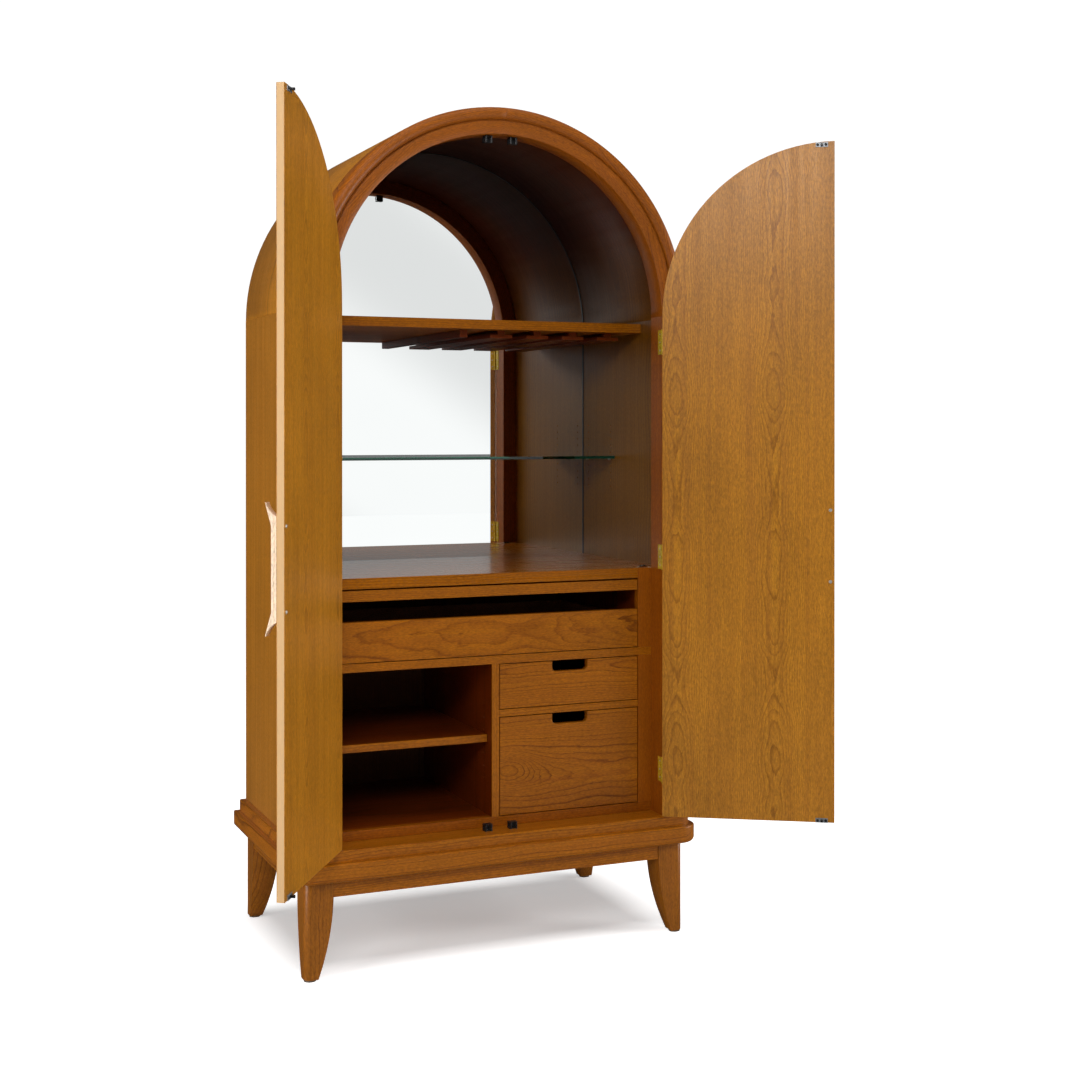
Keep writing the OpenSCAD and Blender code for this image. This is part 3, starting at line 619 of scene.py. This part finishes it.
def piece(name, make, material, body):
    """A new mesh object made by make(bmesh), riding on a CAD body."""
    mesh = bpy.data.meshes.new(name)
    shape = bmesh.new()
    make(shape)
    bmesh.ops.recalc_face_normals(shape, faces=shape.faces)
    shape.to_mesh(mesh)
    shape.free()
    mesh.materials.append(material)
    obj = bpy.data.objects.new(name, mesh)
    bpy.context.scene.collection.objects.link(obj)
    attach(obj, body)


def arch_path(radius, low):
    """Points in x and z up the left side, over the arch and down the right side."""
    steps = 72
    arc = [(-radius * math.cos(math.pi * i / steps), SPRING_Z + radius * math.sin(math.pi * i / steps))
           for i in range(steps + 1)]
    return [(-radius, low)] + arc + [(radius, low)]


def seam(shape):
    """The mirror's black edge seal: a thin band on the walls, just in front of the glass."""
    proud = 0.0010
    depth = 0.0055
    outer = arch_path(INNER_R - HAIR, MIRROR_LOW.z)
    inner = arch_path(INNER_R - proud, MIRROR_LOW.z)
    rows = []
    for (ox, oz), (ix, iz) in zip(outer, inner):
        corners = ((ox, MIRROR_LOW.y, oz), (ix, MIRROR_LOW.y, iz),
                   (ix, MIRROR_LOW.y - depth * 0.8, iz), (ox, MIRROR_LOW.y - depth, oz))
        rows.append([shape.verts.new(corner) for corner in corners])
    for a, b in zip(rows, rows[1:]):
        for i in range(4):
            shape.faces.new((a[i], a[(i + 1) % 4], b[(i + 1) % 4], b[i]))
    shape.faces.new(rows[0])
    shape.faces.new(rows[-1])


def screw_head(shape, centre, axis, radius, rise):
    """A domed screw head with a cross recess. axis points out of the wood."""
    turn = Vector(axis).to_track_quat("Z", "Y").to_matrix()
    around = 32
    angles = [2 * math.pi * i / around for i in range(around)]
    rings = 15
    slot = radius * 0.16
    reach = radius * 0.62

    def height(x, y):
        r = min(1.0, math.hypot(x, y) / radius)
        dome = rise * (0.35 + 0.65 * math.sqrt(max(0.0, 1.0 - r * r)))
        cross = min(abs(x), abs(y)) < slot and max(abs(x), abs(y)) < reach
        return dome - (rise * 0.55 if cross else 0.0)

    def at(x, y, z):
        return shape.verts.new(Vector(centre) + turn @ Vector((x, y, z)))

    top = at(0, 0, height(0, 0))
    loops = []
    for k in range(1, rings + 1):
        size = radius * k / rings
        loop = []
        for angle in angles:
            x, y = size * math.cos(angle), size * math.sin(angle)
            loop.append(at(x, y, height(x, y)))
        loops.append(loop)
    loops.append([at(radius * math.cos(angle), radius * math.sin(angle), 0) for angle in angles])
    for i in range(around):
        shape.faces.new((top, loops[0][i], loops[0][(i + 1) % around]))
    for a, b in zip(loops, loops[1:]):
        for i in range(around):
            j = (i + 1) % around
            shape.faces.new((a[i], b[i], b[j], a[j]))
    shape.faces.new(loops[-1])


def strike_screws(side):
    """Two black screws on each of a door's strikes, one at each end of the plate."""
    points = shut_points(f"{side}_door_strikes", side)

    def make(shape):
        for upper in (False, True):
            group = [point for point in points if (point.z > SPRING_Z) == upper]
            low = Vector([min(point[i] for point in group) for i in range(3)])
            high = Vector([max(point[i] for point in group) for i in range(3)])
            for x in (low.x + STRIKE_SCREW_INSET, high.x - STRIKE_SCREW_INSET):
                centre = (x, DOOR_BACK_Y + PLATE_T - HAIR, (low.z + high.z) / 2)
                screw_head(shape, centre, (0, 1, 0), STRIKE_SCREW_R, STRIKE_SCREW_RISE)
        bmesh.ops.transform(shape, matrix=door_turn(side), verts=shape.verts)

    return make


def back_screws(shape):
    """The screws that hold the back panel, round its edge."""
    low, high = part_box("back_panel")
    inset = 0.014
    reach = high.x - inset
    steps = 10
    angles = [math.pi * i / steps for i in range(steps + 1)]
    arc = [(reach * math.cos(angle), SPRING_Z + reach * math.sin(angle)) for angle in angles]
    per_side = 7
    drop = (SPRING_Z - low.z - inset) / per_side
    sides = [(side * reach, SPRING_Z - drop * i) for side in (-1, 1) for i in range(1, per_side + 1)]
    bottom = [(reach * i / 3, low.z + inset) for i in (-2, -1, 0, 1, 2)]
    for x, z in arc + sides + bottom:
        screw_head(shape, (x, high.y - HAIR, z), (0, 1, 0), BACK_SCREW_R, BACK_SCREW_RISE)


piece("mirror_seam", seam, BLACK, "carcass")
piece("back_panel_screws", back_screws, STEEL, "carcass")
for side in DOOR_SIDE:
    piece(f"{side}_strike_screws", strike_screws(side), BLACK, f"{side}_door")


# ---- Floor, light and camera ----

def floor():
    half = 20.0
    mesh = bpy.data.meshes.new("floor")
    corners = [(-half, -half, 0), (half, -half, 0), (half, half, 0), (-half, half, 0)]
    mesh.from_pydata(corners, [], [(0, 1, 2, 3)])
    obj = bpy.data.objects.new("floor", mesh)
    bpy.context.scene.collection.objects.link(obj)
    g = Graph("floor_white", (0.86, 0.86, 0.86, 1), Roughness=0.9, Specular_IOR_Level=0.0)
    path = g.add("ShaderNodeLightPath")
    x, y, _ = g.split(g.position())
    off_y = g.math("SUBTRACT", y, SHADE_Y)
    past_x = g.math("MAXIMUM", g.math("SUBTRACT", g.math("ABSOLUTE", x), SHADE_HALF_X), 0.0)
    past_y = g.math("MAXIMUM", g.math("SUBTRACT", g.math("ABSOLUTE", off_y), SHADE_HALF_Y), 0.0)
    away = g.length(past_x, past_y)
    # the studio floor melts into the white background, and keeps its shadow only near the cabinet
    glow = g.add("ShaderNodeEmission")
    mirrored = g.math("MULTIPLY", path.outputs["Is Singular Ray"],
                      g.math("LESS_THAN", path.outputs["Glossy Depth"], 1.5))
    seen = g.math("MAXIMUM", path.outputs["Is Camera Ray"], mirrored)
    g.put(glow.inputs["Strength"], g.math("MULTIPLY", seen, g.spread(away, 0.0, SHADE_FADE, 0.30, 1.0)))
    both = g.add("ShaderNodeAddShader")
    g.put(both.inputs[0], g.shader.outputs[0])
    g.put(both.inputs[1], glow.outputs[0])
    # blurred reflections see a dim floor, as in a dark studio
    dim = g.add("ShaderNodeMixShader")
    dark = g.add("ShaderNodeBsdfDiffuse")
    g.put(dark.inputs["Color"], (0.07, 0.065, 0.06, 1))
    blurred = g.math("MULTIPLY", path.outputs["Is Glossy Ray"], g.math("SUBTRACT", 1.0, mirrored))
    g.put(dim.inputs[0], blurred)
    g.put(dim.inputs[1], both.outputs[0])
    g.put(dim.inputs[2], dark.outputs[0])
    g.put(g.output.inputs[0], dim.outputs[0])
    mesh.materials.append(g.material)


def world():
    """White to the eye and in the mirror; dim in blurred reflections, and brighter high up."""
    made = bpy.data.worlds.new("studio")
    made.use_nodes = True
    tree = made.node_tree
    tree.nodes.clear()
    out = tree.nodes.new("ShaderNodeOutputWorld")
    path = tree.nodes.new("ShaderNodeLightPath")
    toward = tree.nodes.new("ShaderNodeSeparateXYZ")
    tree.links.new(tree.nodes.new("ShaderNodeTexCoord").outputs["Generated"], toward.inputs[0])

    def rising(low, high, at_low, at_high):
        """A strength that goes from at_low to at_high as the direction climbs from low to high."""
        node = tree.nodes.new("ShaderNodeMapRange")
        tree.links.new(toward.outputs["Z"], node.inputs[0])
        for i, value in enumerate((low, high, at_low, at_high)):
            node.inputs[i + 1].default_value = value
        return node.outputs[0]

    def sky(strength, color=(1, 1, 1, 1)):
        node = tree.nodes.new("ShaderNodeBackground")
        node.inputs["Color"].default_value = color
        if isinstance(strength, bpy.types.NodeSocket):
            tree.links.new(strength, node.inputs["Strength"])
        else:
            node.inputs["Strength"].default_value = strength
        return node.outputs[0]

    def either(factor, no, yes):
        node = tree.nodes.new("ShaderNodeMixShader")
        tree.links.new(factor, node.inputs[0])
        tree.links.new(no, node.inputs[1])
        tree.links.new(yes, node.inputs[2])
        return node.outputs[0]

    def bands(low, high):
        """The studio's walls as the mirror shows them: broad soft diagonal bands of grey and white."""
        across = tree.nodes.new("ShaderNodeVectorMath")
        across.operation = "DOT_PRODUCT"
        tree.links.new(toward.inputs[0].links[0].from_socket, across.inputs[0])
        across.inputs[1].default_value = (20.0, 0.0, 26.0)
        wave = tree.nodes.new("ShaderNodeMath")
        wave.operation = "COSINE"
        shifted = tree.nodes.new("ShaderNodeMath")
        tree.links.new(across.outputs["Value"], shifted.inputs[0])
        shifted.inputs[1].default_value = -5.8
        tree.links.new(shifted.outputs[0], wave.inputs[0])
        node = tree.nodes.new("ShaderNodeMapRange")
        node.interpolation_type = "SMOOTHSTEP"
        tree.links.new(wave.outputs[0], node.inputs[0])
        for i, value in enumerate((-1.0, 0.6, low, high)):
            node.inputs[i + 1].default_value = value
        return node.outputs[0]

    def few(count, most):
        node = tree.nodes.new("ShaderNodeMath")
        node.operation = "LESS_THAN"
        tree.links.new(path.outputs[count], node.inputs[0])
        node.inputs[1].default_value = most
        return node.outputs[0]

    # what is seen in the mirror has the bright studio in its gloss
    gloss = either(few("Glossy Depth", 1.5), sky(0.26), sky(rising(-0.1, 0.5, 0.015, 0.06)))
    blurred = either(path.outputs["Is Glossy Ray"], sky(0.055), gloss)
    # the mirror as other pieces see it, in their gloss
    mirrored = sky(rising(0.0, 0.32, 0.15, 0.85))
    mirrored = either(few("Diffuse Depth", 0.5), sky(0.055), mirrored)
    mirrored = either(few("Glossy Depth", 1.5), mirrored, sky(bands(0.80, 1.03)))
    sharp = either(path.outputs["Is Singular Ray"], blurred, mirrored)
    tree.links.new(either(path.outputs["Is Camera Ray"], sharp, sky(1.05)), out.inputs[0])
    bpy.context.scene.world = made


def softbox(name, place, target, width, height, power, glossy=True):
    """A soft rectangular light that the mirror doesn't show."""
    light = bpy.data.lights.new(name, "AREA")
    light.shape = "RECTANGLE"
    light.size = width
    light.size_y = height
    light.energy = power
    obj = bpy.data.objects.new(name, light)
    obj.location = place
    obj.rotation_euler = (Vector(target) - Vector(place)).to_track_quat("-Z", "Y").to_euler()
    obj.visible_camera = False
    obj.visible_glossy = glossy
    obj.light_linking.receiver_collection = UNLIT
    bpy.context.scene.collection.objects.link(obj)


def camera():
    data = bpy.data.cameras.new("camera")
    data.sensor_width = 36
    data.lens = 53.809
    data.shift_y = -0.09867
    data.clip_end = 100
    obj = bpy.data.objects.new("camera", data)
    obj.location = (-1.5806, -4.2085, 1.3716)
    obj.rotation_euler = (math.pi / 2 - 0.0021, 0, -math.radians(23.3744))
    bpy.context.scene.collection.objects.link(obj)
    bpy.context.scene.camera = obj


# What the softboxes leave out
UNLIT = bpy.data.collections.new("unlit")
UNLIT.objects.link(NODES["mirror_panel"])
UNLIT.collection_objects[0].light_linking.link_state = "EXCLUDE"

floor()
world()
softbox("above_camera", (-2.1, -4.4, 3.25), (0.3, 0.0, 1.4), 2.4, 1.2, 76)
softbox("front_right", (4.0, -2.0, 1.5), (-0.5, -0.4, 1.2), 1.6, 2.2, 98)
softbox("overhead", (0.0, -0.8, 4.6), (0.0, 0.0, 0.0), 3.8, 3.2, 78, glossy=False)
softbox("left", (-4.4, -1.3, 1.5), (-0.5, 0.0, 1.1), 2.2, 2.4, 118)
camera()
bpy.context.scene.view_settings.view_transform = "Standard"
